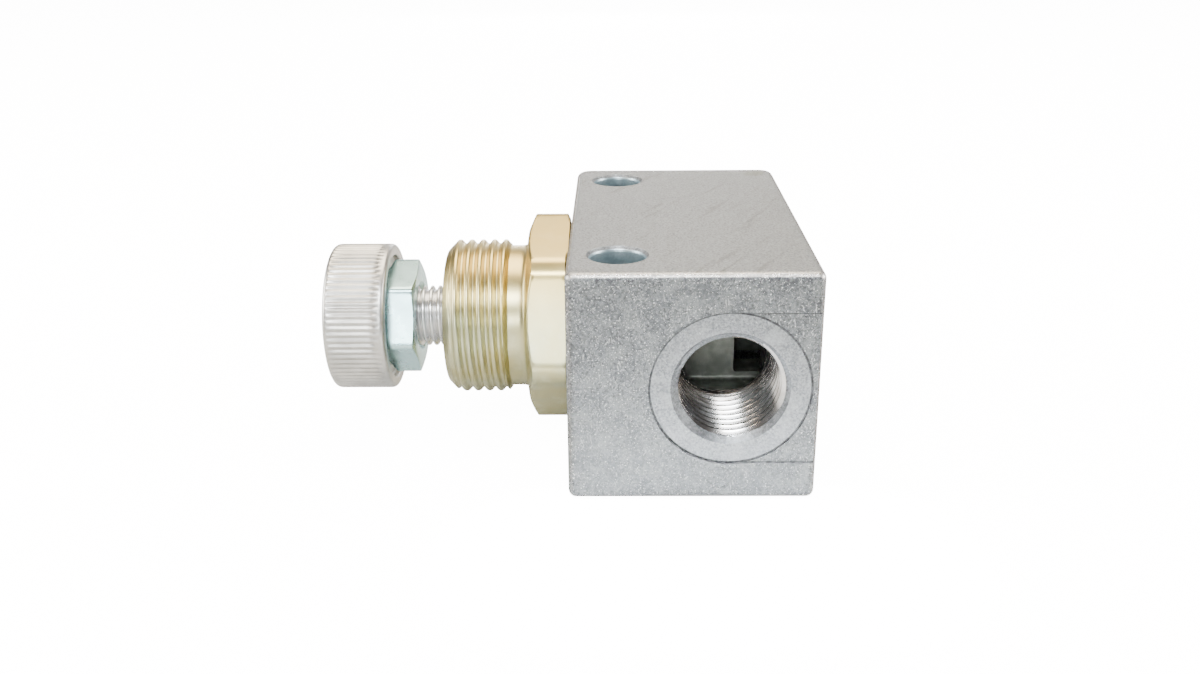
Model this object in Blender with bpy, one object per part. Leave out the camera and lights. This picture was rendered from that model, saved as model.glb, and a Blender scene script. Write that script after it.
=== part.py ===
"""In-line flow control valve: a cast body with two ports, a panel-mount bonnet, and a screwed spindle.

Turning the knurled knob drives a needle into the orifice of a sleeve, and a sprung ring on that
sleeve lets fluid through freely the other way.

Frame: the origin is the centre of the body's bottom face, +Z is up and +X points away from the knob.
All sizes are in millimetres, and MM turns them into metres when a mesh is made.
"""

import math

import bmesh
import bpy
from mathutils import Vector

MM = 0.001

# Clearances
SEAT_GAP = 0.3        # between two faces that rest on each other
RUN_GAP = 0.1         # radial, on screwed and sliding fits
SEAL_GAP = 0.15       # radial, round a seal in its groove
SLIDE_GAP = 0.2       # radial, between the check ring and its tube
THREAD_LEAD = 0.6     # chamfer at a thread's end
CUT_OVERLAP = 0.3     # how far a cutter reaches past the face it opens

# Body
BODY_WIDTH = 28.5     # X
BODY_DEPTH = 50.0     # Y, from port to port
BODY_HEIGHT = 27.5    # Z
FRONT_CORNER = 1.0    # radii of the vertical corners
REAR_CORNER = 2.0
FACE_EDGE = 0.9       # radius of the top and bottom edges
HOLE_RADIUS = 3.2
HOLE_CHAMFER = 0.4
HOLE_FROM_KNOB_FACE = 5.8
HOLE_FROM_PORT_FACE = 7.0
PORT_RADIUS = 5.9     # G 1/4 thread, at its crests
PORT_CHAMFER = 0.75
PORT_DEPTH = 13.0
PORT_FROM_END_FACE = 10.05
SPOT_RADIUS = 9.25
SPOT_DEPTH = 0.3
PAD_DEPTH = 0.15
PAD_INSIDE_SPOT = 0.1
END_WALL = 3.25
END_CHAMBER_LENGTH = 6.1
END_CHAMBER_RADIUS = 6.3
CHAMBER_LENGTH = 9.9
CHAMBER_LEDGE = 1.0   # how far the socket stands out from the chamber, in radius
POCKET = (-4.6, 5.4)        # cored pocket beyond the port's thread, X from the port's axis
POCKET_DEPTH = 3.4
POCKET_HALF_HEIGHT = 5.6
PASSAGE_FROM_MIDDLE = 3.5   # where each passage ends inside the chamber
SLOT_HALF_HEIGHT = 4.6
FRONT_SLOT = (1.9, 5.7)     # passage from the front port, X from the port's axis
REAR_SLOT = (-5.6, -2.4)    # passage from the rear port, X from the port's axis

# Bonnet
HEX_FLATS = 24.0
HEX_CORNER_ANGLE = 46.0     # degrees from -Y towards +Z, shared by both hexagons
HEX_LENGTH = 5.2
HEX_STOCK_RADIUS = 13.3
HEX_CHAMFER = (0.8, 1.8)    # along the axis, and across it
HEX_BACK_CHAMFER = (0.3, 0.6)
PANEL_THREAD_RADIUS = 10.0  # M20 x 1.5
PANEL_THREAD_LENGTH = 8.25
PANEL_THREAD_CHAMFER = (1.5, 1.3)
RELIEF_RADIUS = 9.2
RELIEF_LENGTH = 2.4
RELIEF_FILLET = 1.0
SHANK_RADIUS = 8.2
BONNET_THREAD_ENGAGEMENT = 8.2
RING_SECTION = 0.7          # radius of an O-ring's section
RING_GROOVE_WIDTH = 2.0
BONNET_GROOVE_FROM_HEX = 0.7
THREAD_RUN_OUT = 0.5

# Spindle, knob and lock nut
SPINDLE_RADIUS = 4.0        # M8 x 1
SHOULDER_LAND = 0.7         # how far the shoulder stands out from the thread
TRAVEL = 5.0
BACKUP_WIDTH = 0.8
SHOULDER_TO_GROOVE = 1.9
SPINDLE_FROM_SLEEVE = 3.7
NUT_FLATS = 13.0
NUT_THICKNESS = 4.0
NUT_FROM_BONNET = 3.9
NUT_IN_KNOB = 0.7
NUT_CHAMFER_ANGLE = 30.0
NUT_FACE_INSET = 0.2        # how far the nut's round faces end inside its flats
NUT_BORE_CHAMFER = 0.5
NUT_TO_RECESS = 0.5         # between the nut's corners and the knob's recess
KNOB_RADIUS = 9.5
KNOB_LENGTH = 7.85
KNOB_ROUNDING = 1.1
KNOB_END_WALL = 1.9
SPINDLE_END_CHAMFER = 0.4
GRUB_RADIUS = 1.4
GRUB_ANGLE = 225.0          # degrees from -Y towards +Z
GRUB_FROM_END = 3.6
GRUB_SOCKET_FLATS = 1.5
GRUB_SOCKET_DEPTH = 1.6
GRUB_POINT = 0.4
GRUB_EDGE = 0.2
GRUB_INSET = 0.9            # how far it ends under the knob's surface

# Needle and its swivel pin
NEEDLE_RADIUS = 1.7
NEEDLE_SEAT_RADIUS = 2.4
NEEDLE_TIP_RADIUS = 0.6
NEEDLE_GROOVE_RADIUS = 0.9
NEEDLE_IN_SPINDLE = 3.4
NEEDLE_COLLAR = 0.8         # length of the collar that guides it in the tube
NEEDLE_HEAD = (1.4, 1.0)    # where the cone's head starts and is full, behind the seat
NEEDLE_TIP_LENGTH = 0.9
NEEDLE_IN_ORIFICE = 0.25    # radial, between the cone's end and the orifice
PIN_RADIUS = 0.45
PIN_FROM_SPINDLE_END = 1.6
PIN_INSET = 0.35
BALL_RADIUS = 1.2

# Sleeve, check ring and spring
ORIFICE_RADIUS = 2.2
ORIFICE_LAND = 0.8
TUBE_BORE = 2.9
TUBE_WALL = 0.7
FLANGE_THICKNESS = 1.2
GASKET_THICKNESS = 0.6
GASKET_LAND = 0.8
CHECK_HOLES = 8
CHECK_HOLE_RADIUS = 0.9
CHECK_PLATE = 0.8
CHECK_RIM = 0.35
CHECK_TO_CHAMBER = 0.7      # radial, so that the free flow passes round the ring
SEAL_THICKNESS = 0.85
CHECK_LIFT = 1.5
SPRING_WIRE = 0.25
SPRING_TURNS = 3.5
SPRING_POINTS_PER_TURN = 14
SPRING_CLOSING = 0.8        # how much the pitch closes up at the ends: 0 is even, 1 touches
SPRING_SEAT_THICKNESS = 0.85
WINDOW_LENGTH = 2.2
WINDOW_WIDTH = 2.4

ROUND = 48
SMALL_ROUND = 32

# Places along the stem axis, measured in X
STEM_HEIGHT = BODY_HEIGHT / 2
KNOB_FACE = -BODY_WIDTH / 2
END_FACE = BODY_WIDTH / 2
END_CHAMBER_END = END_FACE - END_WALL
STEP = END_CHAMBER_END - END_CHAMBER_LENGTH
SOCKET_END = STEP - CHAMBER_LENGTH
HEX_INNER = KNOB_FACE - SEAT_GAP
HEX_OUTER = HEX_INNER - HEX_LENGTH
THREAD_INNER = HEX_OUTER - RELIEF_LENGTH
BONNET_OUTER = THREAD_INNER - PANEL_THREAD_LENGTH
BONNET_INNER = SOCKET_END - SEAT_GAP
BONNET_THREAD_END = BONNET_OUTER + BONNET_THREAD_ENGAGEMENT
NUT_INNER = BONNET_OUTER - NUT_FROM_BONNET
NUT_OUTER = NUT_INNER - NUT_THICKNESS
KNOB_INNER = NUT_OUTER + NUT_IN_KNOB
KNOB_OUTER = KNOB_INNER - KNOB_LENGTH
SPINDLE_OUTER = KNOB_OUTER + KNOB_END_WALL
SHOULDER = BONNET_THREAD_END + TRAVEL + SEAT_GAP
FLANGE_OUTER = STEP - GASKET_THICKNESS - 2 * SEAT_GAP
FLANGE_INNER = FLANGE_OUTER - FLANGE_THICKNESS
TUBE_END = SOCKET_END + SLIDE_GAP
SPINDLE_INNER = TUBE_END - SPINDLE_FROM_SLEEVE
SPRING_SEAT_INNER = BONNET_INNER + SEAT_GAP + RUN_GAP + SPRING_SEAT_THICKNESS
SEAL_FACE = FLANGE_INNER - SEAT_GAP
SEAL_BACK = SEAL_FACE - SEAL_THICKNESS
PLATE_FACE = SEAL_BACK - SEAL_GAP
PLATE_BACK = PLATE_FACE - CHECK_PLATE
PIN_PLACE = SPINDLE_INNER - PIN_FROM_SPINDLE_END
GRUB_PLACE = KNOB_OUTER + GRUB_FROM_END

# Radii about the stem axis
SOCKET_RADIUS = SHANK_RADIUS + SEAT_GAP
CHAMBER_RADIUS = SOCKET_RADIUS - CHAMBER_LEDGE
FLANGE_RADIUS = CHAMBER_RADIUS - SEAT_GAP
SPINDLE_HOLE = SPINDLE_RADIUS + RUN_GAP
SHOULDER_RADIUS = SPINDLE_RADIUS + SHOULDER_LAND
BONNET_BORE = SHOULDER_RADIUS + SEAT_GAP
SPINDLE_RING_RADIUS = BONNET_BORE - SEAL_GAP - RING_SECTION
SPINDLE_GROOVE_RADIUS = SPINDLE_RING_RADIUS - RING_SECTION - SEAL_GAP
BONNET_RING_RADIUS = SOCKET_RADIUS - SEAL_GAP - RING_SECTION
BONNET_GROOVE_RADIUS = BONNET_RING_RADIUS - RING_SECTION - SEAL_GAP
TUBE_RADIUS = TUBE_BORE + TUBE_WALL
CHECK_BORE = TUBE_RADIUS + SLIDE_GAP
CHECK_RADIUS = CHAMBER_RADIUS - CHECK_TO_CHAMBER
SEAL_RADIUS = CHECK_RADIUS - CHECK_RIM - SEAL_GAP
CHECK_HOLE_CIRCLE = (CHECK_BORE + SEAL_RADIUS) / 2
SPRING_RADIUS = (CHECK_BORE + CHECK_RADIUS) / 2
PIN_OFFSET = NEEDLE_GROOVE_RADIUS + PIN_RADIUS + SEAL_GAP


def material(name, colour, roughness, metallic):
    made = bpy.data.materials.new(name)
    made.use_nodes = True
    shader = made.node_tree.nodes["Principled BSDF"]
    shader.inputs["Base Color"].default_value = (*colour, 1.0)
    shader.inputs["Roughness"].default_value = roughness
    shader.inputs["Metallic"].default_value = metallic
    made.diffuse_color = (*colour, 1.0)
    return made


def object_from(name, mesh_data):
    """A new object, shaded smooth with its edges kept crisp, from a bmesh in metres."""
    mesh = bpy.data.meshes.new(name)
    bmesh.ops.recalc_face_normals(mesh_data, faces=mesh_data.faces)
    mesh_data.to_mesh(mesh)
    mesh_data.free()
    mesh.shade_smooth()
    mesh.set_sharp_from_angle(angle=math.radians(35))
    made = bpy.data.objects.new(name, mesh)
    bpy.context.scene.collection.objects.link(made)
    return made


def spun(mesh_data, outline, sides, angle=0.0, centre=(0.0, 0.0)):
    """Turns a closed outline of (x, radius) points about the X axis, from -Y raised by angle degrees."""
    turn = math.radians(angle)
    y, z = centre
    away = Vector((0.0, -math.cos(turn), math.sin(turn)))
    points = [mesh_data.verts.new((Vector((x, y, z)) + away * radius) * MM) for x, radius in outline]
    edges = [mesh_data.edges.new((a, b)) for a, b in zip(points, points[1:] + points[:1])]
    bmesh.ops.spin(
        mesh_data,
        geom=points + edges,
        cent=Vector((0.0, y, z)) * MM,
        axis=(1.0, 0.0, 0.0),
        angle=2 * math.pi,
        steps=sides,
        use_merge=True,
    )
    bmesh.ops.remove_doubles(mesh_data, verts=mesh_data.verts, dist=0.0005 * MM)
    loose = [edge for edge in mesh_data.edges if not edge.link_faces]
    bmesh.ops.delete(mesh_data, geom=loose, context="EDGES")


def turned(name, outline, sides=ROUND, angle=0.0):
    mesh_data = bmesh.new()
    spun(mesh_data, outline, sides, angle)
    return object_from(name, mesh_data)


def block(name, low, high):
    """A box between two corners."""
    low, high = Vector(low), Vector(high)
    mesh_data = bmesh.new()
    bmesh.ops.create_cube(mesh_data, size=1.0)
    for vert in mesh_data.verts:
        vert.co = Vector(a + (b - a) * (c + 0.5) for a, b, c in zip(low, high, vert.co)) * MM
    return object_from(name, mesh_data)


def arc(x, radius, size, start, end, steps=5):
    """Points of an arc in the (x, radius) plane, its angles in degrees from the x direction."""
    angles = [math.radians(start + (end - start) * i / steps) for i in range(steps + 1)]
    return [(x + size * math.cos(a), radius + size * math.sin(a)) for a in angles]


def place(made, x=0.0, y=0.0, z=0.0, towards=None):
    """Puts an object at a point, and turns its X axis towards a direction."""
    made.location = Vector((x, y, z)) * MM
    if towards:
        made.rotation_mode = "QUATERNION"
        made.rotation_quaternion = Vector((1, 0, 0)).rotation_difference(Vector(towards))
    return made


def combine(made, tool, operation="DIFFERENCE"):
    """Adds a Boolean, and hides its tool from the render."""
    modifier = made.modifiers.new(tool.name, "BOOLEAN")
    modifier.operation = operation
    modifier.solver = "EXACT"
    modifier.object = tool
    tool.hide_render = True
    tool.display_type = "WIRE"


def axis_empty(name, parent=None):
    """An empty on the stem axis that a moving group hangs from."""
    made = bpy.data.objects.new(name, None)
    made.empty_display_size = 10 * MM
    bpy.context.scene.collection.objects.link(made)
    if parent:
        made.parent = parent
    else:
        made.location = Vector((0, 0, STEM_HEIGHT)) * MM
    return made


def hang(parent, look, *pieces):
    """Parents pieces to a group's empty, and gives them their material."""
    for piece in pieces:
        piece.parent = parent
        piece.data.materials.append(look)


def hexagon_trim(name, flats, low, high):
    """A collar with a hexagonal hole, which cuts flats on round stock."""
    corner = flats / math.sqrt(3)
    outline = [(low, corner), (high, corner), (high, 2 * corner), (low, 2 * corner)]
    return turned(name, outline, sides=6, angle=HEX_CORNER_ANGLE)


def washer(name, low, high, inner, outer):
    """A flat ring between two places on the axis."""
    return turned(name, [(low, inner), (low, outer), (high, outer), (high, inner)], SMALL_ROUND)


def o_ring(name, x, radius):
    """The arc stops one step short, because the outline closes itself."""
    return turned(name, arc(x, radius, RING_SECTION, 0, 315, steps=7), SMALL_ROUND)


def body():
    mesh_data = bmesh.new()
    bmesh.ops.create_cube(mesh_data, size=1.0)
    size = Vector((BODY_WIDTH, BODY_DEPTH, BODY_HEIGHT))
    for vert in mesh_data.verts:
        vert.co = Vector((a * b for a, b in zip(vert.co, size))) * MM
        vert.co.z += size.z / 2 * MM

    for side, radius in ((-1, FRONT_CORNER), (1, REAR_CORNER)):
        edges = [
            edge
            for edge in mesh_data.edges
            if abs(edge.verts[0].co.z - edge.verts[1].co.z) > BODY_HEIGHT / 2 * MM
            and edge.verts[0].co.y * side > (BODY_DEPTH / 2 - 0.01) * MM
        ]
        bmesh.ops.bevel(
            mesh_data, geom=edges, offset=radius * MM, segments=4, profile=0.5, affect="EDGES"
        )
    rims = [
        edge
        for edge in mesh_data.edges
        if abs(edge.verts[0].co.z - edge.verts[1].co.z) < 0.01 * MM
    ]
    bmesh.ops.bevel(
        mesh_data, geom=rims, offset=FACE_EDGE * MM, segments=3, profile=0.5, affect="EDGES"
    )
    made = object_from("body", mesh_data)

    floor = BODY_DEPTH / 2 - PORT_DEPTH    # from the body's middle to a port's floor
    combine(made, stem_bore())
    for side, slot in ((-1, FRONT_SLOT), (1, REAR_SLOT)):
        label = "front" if side < 0 else "rear"
        combine(made, port_bore(f"{label}_port_bore", side))
        combine(made, port_pad(f"{label}_port_pad", side))
        pocket = (floor - POCKET_DEPTH, floor + CUT_OVERLAP)
        passage = (PASSAGE_FROM_MIDDLE, floor + CUT_OVERLAP)
        combine(made, cored(f"{label}_pocket", side, POCKET, POCKET_HALF_HEIGHT, pocket))
        combine(made, cored(f"{label}_passage", side, slot, SLOT_HALF_HEIGHT, passage))
        combine(made, mounting_hole(f"{label}_hole_bore", side))
    return made


def stem_bore():
    outline = [
        (KNOB_FACE - 1, 0),
        (KNOB_FACE - 1, SOCKET_RADIUS),
        (SOCKET_END, SOCKET_RADIUS),
        (SOCKET_END, CHAMBER_RADIUS),
        (STEP, CHAMBER_RADIUS),
        (STEP, END_CHAMBER_RADIUS),
        (END_CHAMBER_END, END_CHAMBER_RADIUS),
        (END_CHAMBER_END, 0),
    ]
    return place(turned("stem_bore", outline), z=STEM_HEIGHT)


def port_bore(name, side):
    """Depths run inwards from the port's face."""
    outline = [
        (-1, 0),
        (-1, SPOT_RADIUS),
        (SPOT_DEPTH, SPOT_RADIUS),
        (SPOT_DEPTH, PORT_RADIUS + PORT_CHAMFER),
        (SPOT_DEPTH + PORT_CHAMFER, PORT_RADIUS),
        (PORT_DEPTH - PORT_CHAMFER, PORT_RADIUS),
        (PORT_DEPTH, PORT_RADIUS - PORT_CHAMFER),
        (PORT_DEPTH, 0),
    ]
    made = turned(name, outline)
    axis_x = END_FACE - PORT_FROM_END_FACE
    return place(made, axis_x, side * BODY_DEPTH / 2, STEM_HEIGHT, towards=(0, -side, 0))


def port_pad(name, side):
    """The shallow milled strip between the port's spot face and the end face."""
    face = side * BODY_DEPTH / 2
    ends = sorted((face + side, face - side * PAD_DEPTH))
    half = SPOT_RADIUS - PAD_INSIDE_SPOT
    low = (END_FACE - PORT_FROM_END_FACE, ends[0], STEM_HEIGHT - half)
    high = (END_FACE + 1, ends[1], STEM_HEIGHT + half)
    return block(name, low, high)


def cored(name, side, span, half_height, reach):
    """A rectangular core on the port's axis, between two distances from the middle of the body."""
    axis_x = END_FACE - PORT_FROM_END_FACE
    ends = sorted(side * distance for distance in reach)
    low = (axis_x + span[0], ends[0], STEM_HEIGHT - half_height)
    high = (axis_x + span[1], ends[1], STEM_HEIGHT + half_height)
    return block(name, low, high)


def mounting_hole(name, side):
    wide = HOLE_RADIUS + HOLE_CHAMFER
    outline = [
        (-1, 0),
        (-1, wide),
        (0, wide),
        (HOLE_CHAMFER, HOLE_RADIUS),
        (BODY_HEIGHT - HOLE_CHAMFER, HOLE_RADIUS),
        (BODY_HEIGHT, wide),
        (BODY_HEIGHT + 1, wide),
        (BODY_HEIGHT + 1, 0),
    ]
    made = turned(name, outline, SMALL_ROUND)
    x = KNOB_FACE + HOLE_FROM_KNOB_FACE
    y = side * (BODY_DEPTH / 2 - HOLE_FROM_PORT_FACE)
    return place(made, x, y, towards=(0, 0, 1))


def bonnet():
    groove = HEX_INNER + BONNET_GROOVE_FROM_HEX
    chamfer_along, chamfer_across = HEX_CHAMFER
    back_along, back_across = HEX_BACK_CHAMFER
    lead_along, lead_across = PANEL_THREAD_CHAMFER
    outline = [
        (BONNET_OUTER, SPINDLE_HOLE + THREAD_LEAD),
        (BONNET_OUTER, PANEL_THREAD_RADIUS - lead_across),
        (BONNET_OUTER + lead_along, PANEL_THREAD_RADIUS),
        (THREAD_INNER, PANEL_THREAD_RADIUS),
        (THREAD_INNER + THREAD_RUN_OUT, RELIEF_RADIUS),
        *arc(HEX_OUTER - RELIEF_FILLET, RELIEF_RADIUS + RELIEF_FILLET, RELIEF_FILLET, -90, 0, 4),
        (HEX_OUTER, HEX_STOCK_RADIUS - chamfer_across),
        (HEX_OUTER + chamfer_along, HEX_STOCK_RADIUS),
        (HEX_INNER - back_along, HEX_STOCK_RADIUS),
        (HEX_INNER, HEX_STOCK_RADIUS - back_across),
        (HEX_INNER, SHANK_RADIUS),
        (groove, SHANK_RADIUS),
        (groove, BONNET_GROOVE_RADIUS),
        (groove + RING_GROOVE_WIDTH, BONNET_GROOVE_RADIUS),
        (groove + RING_GROOVE_WIDTH, SHANK_RADIUS),
        (BONNET_INNER - THREAD_LEAD, SHANK_RADIUS),
        (BONNET_INNER, SHANK_RADIUS - THREAD_LEAD),
        (BONNET_INNER, BONNET_BORE),
        (BONNET_THREAD_END, BONNET_BORE),
        (BONNET_THREAD_END, SPINDLE_HOLE),
        (BONNET_OUTER + THREAD_LEAD, SPINDLE_HOLE),
    ]
    made = turned("bonnet", outline)
    trim = hexagon_trim("bonnet_flats", HEX_FLATS, HEX_OUTER - CUT_OVERLAP, HEX_INNER + CUT_OVERLAP)
    combine(made, trim)
    return made, trim


def bonnet_ring():
    middle = HEX_INNER + BONNET_GROOVE_FROM_HEX + RING_GROOVE_WIDTH / 2
    return o_ring("bonnet_oring", middle, BONNET_RING_RADIUS)


def spindle():
    groove = SHOULDER + SHOULDER_TO_GROOVE
    groove_end = groove + RING_GROOVE_WIDTH + BACKUP_WIDTH + SEAL_GAP
    bore_end = SPINDLE_INNER - NEEDLE_IN_SPINDLE - 2 * BALL_RADIUS - 2 * SEAT_GAP
    outline = [
        (SPINDLE_OUTER, 0),
        (SPINDLE_OUTER, SPINDLE_RADIUS - THREAD_LEAD),
        (SPINDLE_OUTER + THREAD_LEAD, SPINDLE_RADIUS),
        (SHOULDER, SPINDLE_RADIUS),
        (SHOULDER, SHOULDER_RADIUS),
        (groove, SHOULDER_RADIUS),
        (groove, SPINDLE_GROOVE_RADIUS),
        (groove_end, SPINDLE_GROOVE_RADIUS),
        (groove_end, SHOULDER_RADIUS),
        (SPINDLE_INNER - SPINDLE_END_CHAMFER, SHOULDER_RADIUS),
        (SPINDLE_INNER, SHOULDER_RADIUS - SPINDLE_END_CHAMFER),
        (SPINDLE_INNER, NEEDLE_RADIUS + RUN_GAP),
        (bore_end, NEEDLE_RADIUS + RUN_GAP),
        (bore_end, 0),
    ]
    made = turned("spindle", outline)
    pin_hole = turned(
        "pin_hole", [(-9, 0), (-9, PIN_RADIUS + SEAL_GAP), (9, PIN_RADIUS + SEAL_GAP), (9, 0)], 16
    )
    place(pin_hole, PIN_PLACE, PIN_OFFSET, towards=(0, 0, 1))
    combine(made, pin_hole)
    return made, pin_hole


def spindle_ring():
    middle = SHOULDER + SHOULDER_TO_GROOVE + BACKUP_WIDTH + SEAL_GAP + RING_GROOVE_WIDTH / 2
    return o_ring("spindle_oring", middle, SPINDLE_RING_RADIUS)


def backup_ring():
    low = SHOULDER + SHOULDER_TO_GROOVE + SEAL_GAP
    inner = SPINDLE_GROOVE_RADIUS + SEAL_GAP
    outer = BONNET_BORE - SEAL_GAP
    return washer("backup_ring", low, low + BACKUP_WIDTH, inner, outer)


def throttle_needle():
    """Its cone lies parallel to the sleeve's 45 degree seat, one seat gap away."""
    end = SPINDLE_INNER - NEEDLE_IN_SPINDLE
    half_groove = PIN_RADIUS + SEAT_GAP
    seat_sum = FLANGE_OUTER - ORIFICE_LAND + ORIFICE_RADIUS - SEAT_GAP * math.sqrt(2)
    head = seat_sum - NEEDLE_SEAT_RADIUS
    head_start, head_full = NEEDLE_HEAD
    cone_end = ORIFICE_RADIUS - NEEDLE_IN_ORIFICE
    guide = TUBE_END + SLIDE_GAP
    outline = [
        (end, 0),
        (end, NEEDLE_RADIUS),
        (PIN_PLACE - half_groove, NEEDLE_RADIUS),
        (PIN_PLACE - half_groove, NEEDLE_GROOVE_RADIUS),
        (PIN_PLACE + half_groove, NEEDLE_GROOVE_RADIUS),
        (PIN_PLACE + half_groove, NEEDLE_RADIUS),
        (guide, NEEDLE_RADIUS),
        (guide, TUBE_BORE - RUN_GAP),
        (guide + NEEDLE_COLLAR, TUBE_BORE - RUN_GAP),
        (guide + NEEDLE_COLLAR, NEEDLE_RADIUS),
        (head - head_start, NEEDLE_RADIUS),
        (head - head_full, NEEDLE_SEAT_RADIUS),
        (head, NEEDLE_SEAT_RADIUS),
        (seat_sum - cone_end, cone_end),
        (FLANGE_OUTER + NEEDLE_TIP_LENGTH, NEEDLE_TIP_RADIUS),
        (FLANGE_OUTER + NEEDLE_TIP_LENGTH, 0),
    ]
    return turned("throttle_needle", outline, SMALL_ROUND)


def needle_pin():
    half = math.sqrt(SHOULDER_RADIUS**2 - PIN_OFFSET**2) - PIN_INSET
    made = turned("needle_pin", [(-half, 0), (-half, PIN_RADIUS), (half, PIN_RADIUS), (half, 0)], 16)
    return place(made, PIN_PLACE, PIN_OFFSET, towards=(0, 0, 1))


def thrust_ball():
    """The ball that the needle's end turns on, at the bottom of the spindle's bore."""
    middle = SPINDLE_INNER - NEEDLE_IN_SPINDLE - SEAT_GAP - BALL_RADIUS
    return turned("thrust_ball", arc(middle, 0, BALL_RADIUS, 180, 0, steps=10), 20)


def knob():
    recess = NUT_FLATS / math.sqrt(3) + NUT_TO_RECESS
    floor = NUT_OUTER - SEAT_GAP
    edge = KNOB_ROUNDING
    rim = (KNOB_RADIUS - recess) / 2    # radius of the bead round the recess
    outline = [
        (KNOB_OUTER, 0),
        *arc(KNOB_OUTER + edge, KNOB_RADIUS - edge, edge, 180, 90),
        *arc(KNOB_INNER - rim, KNOB_RADIUS - rim, rim, 90, 0, 4),
        *arc(KNOB_INNER - rim, recess + rim, rim, 0, -90, 4),
        (floor, recess),
        (floor, SPINDLE_HOLE),
        (SPINDLE_OUTER - SEAT_GAP, SPINDLE_HOLE),
        (SPINDLE_OUTER - SEAT_GAP, 0),
    ]
    made = turned("knob", outline)
    hole = turned(
        "grub_hole",
        [
            (SPINDLE_RADIUS - 1, 0),
            (SPINDLE_RADIUS - 1, GRUB_RADIUS + RUN_GAP),
            (KNOB_RADIUS + 1, GRUB_RADIUS + RUN_GAP),
            (KNOB_RADIUS + 1, 0),
        ],
        24,
    )
    place(hole, GRUB_PLACE, towards=radial(GRUB_ANGLE))
    combine(made, hole)
    return made, hole


def radial(angle):
    turn = math.radians(angle)
    return (0, -math.cos(turn), math.sin(turn))


def grub_screw():
    low = SPINDLE_HOLE + SEAT_GAP / 2
    high = KNOB_RADIUS - GRUB_INSET
    outline = [
        (low, 0),
        (low, GRUB_RADIUS - GRUB_POINT),
        (low + GRUB_POINT, GRUB_RADIUS),
        (high - GRUB_EDGE, GRUB_RADIUS),
        (high, GRUB_RADIUS - GRUB_EDGE),
        (high, 0),
    ]
    made = place(turned("knob_grub_screw", outline, 24), GRUB_PLACE, towards=radial(GRUB_ANGLE))
    corner = GRUB_SOCKET_FLATS / math.sqrt(3)
    floor = high - GRUB_SOCKET_DEPTH
    socket = turned("grub_socket", [(floor, 0), (floor, corner), (high + 1, corner), (high + 1, 0)], 6)
    place(socket, GRUB_PLACE, towards=radial(GRUB_ANGLE))
    combine(made, socket)
    return made, socket


def lock_nut():
    corner = NUT_FLATS / math.sqrt(3)
    face = NUT_FLATS / 2 - NUT_FACE_INSET
    chamfer = (corner - face) * math.tan(math.radians(NUT_CHAMFER_ANGLE))
    outline = [
        (NUT_OUTER, SPINDLE_HOLE + NUT_BORE_CHAMFER),
        (NUT_OUTER, face),
        (NUT_OUTER + chamfer, corner),
        (NUT_INNER - chamfer, corner),
        (NUT_INNER, face),
        (NUT_INNER, SPINDLE_HOLE + NUT_BORE_CHAMFER),
        (NUT_INNER - NUT_BORE_CHAMFER, SPINDLE_HOLE),
        (NUT_OUTER + NUT_BORE_CHAMFER, SPINDLE_HOLE),
    ]
    made = turned("lock_nut", outline)
    trim = hexagon_trim("nut_flats", NUT_FLATS, NUT_OUTER - CUT_OVERLAP, NUT_INNER + CUT_OVERLAP)
    combine(made, trim)
    return made, trim


def throttle_sleeve():
    outline = [
        (TUBE_END, TUBE_BORE),
        (TUBE_END, TUBE_RADIUS),
        (FLANGE_INNER, TUBE_RADIUS),
        (FLANGE_INNER, FLANGE_RADIUS),
        (FLANGE_OUTER, FLANGE_RADIUS),
        (FLANGE_OUTER, ORIFICE_RADIUS),
        (FLANGE_OUTER - ORIFICE_LAND, ORIFICE_RADIUS),
        (FLANGE_OUTER - ORIFICE_LAND - (TUBE_BORE - ORIFICE_RADIUS), TUBE_BORE),
    ]
    made = turned("throttle_sleeve", outline, SMALL_ROUND)

    holes = bmesh.new()
    low, high = FLANGE_INNER - 1, FLANGE_OUTER + 1
    for i in range(CHECK_HOLES):
        turn = 2 * math.pi * i / CHECK_HOLES
        centre = (CHECK_HOLE_CIRCLE * math.cos(turn), CHECK_HOLE_CIRCLE * math.sin(turn))
        r = CHECK_HOLE_RADIUS
        spun(holes, [(low, 0), (low, r), (high, r), (high, 0)], 16, centre=centre)
    tools = [object_from("check_holes", holes)]

    middle = (SPRING_SEAT_INNER + PLATE_BACK - CHECK_LIFT) / 2
    reach = TUBE_RADIUS + 2
    x = (middle - WINDOW_LENGTH / 2, middle + WINDOW_LENGTH / 2)
    half = WINDOW_WIDTH / 2
    tools.append(block("upright_windows", (x[0], -half, -reach), (x[1], half, reach)))
    tools.append(block("level_windows", (x[0], -reach, -half), (x[1], reach, half)))
    for tool in tools:
        combine(made, tool)
    return made, tools


def sleeve_gasket():
    low = FLANGE_OUTER + SEAT_GAP
    inner = FLANGE_RADIUS - GASKET_LAND
    return washer("sleeve_gasket", low, low + GASKET_THICKNESS, inner, FLANGE_RADIUS)


def spring_seat():
    low = SPRING_SEAT_INNER - SPRING_SEAT_THICKNESS
    return washer("spring_seat", low, SPRING_SEAT_INNER, TUBE_RADIUS + RUN_GAP, FLANGE_RADIUS)


def check_ring():
    outline = [
        (PLATE_BACK, CHECK_BORE),
        (PLATE_BACK, CHECK_RADIUS),
        (PLATE_FACE + SEAL_THICKNESS / 2, CHECK_RADIUS),
        (PLATE_FACE + SEAL_THICKNESS / 2, CHECK_RADIUS - CHECK_RIM),
        (PLATE_FACE, CHECK_RADIUS - CHECK_RIM),
        (PLATE_FACE, CHECK_BORE),
    ]
    return turned("check_ring", outline, SMALL_ROUND)


def check_seal():
    return washer("check_seal", SEAL_BACK, SEAL_FACE, CHECK_BORE + SEAL_GAP, SEAL_RADIUS)


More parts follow.
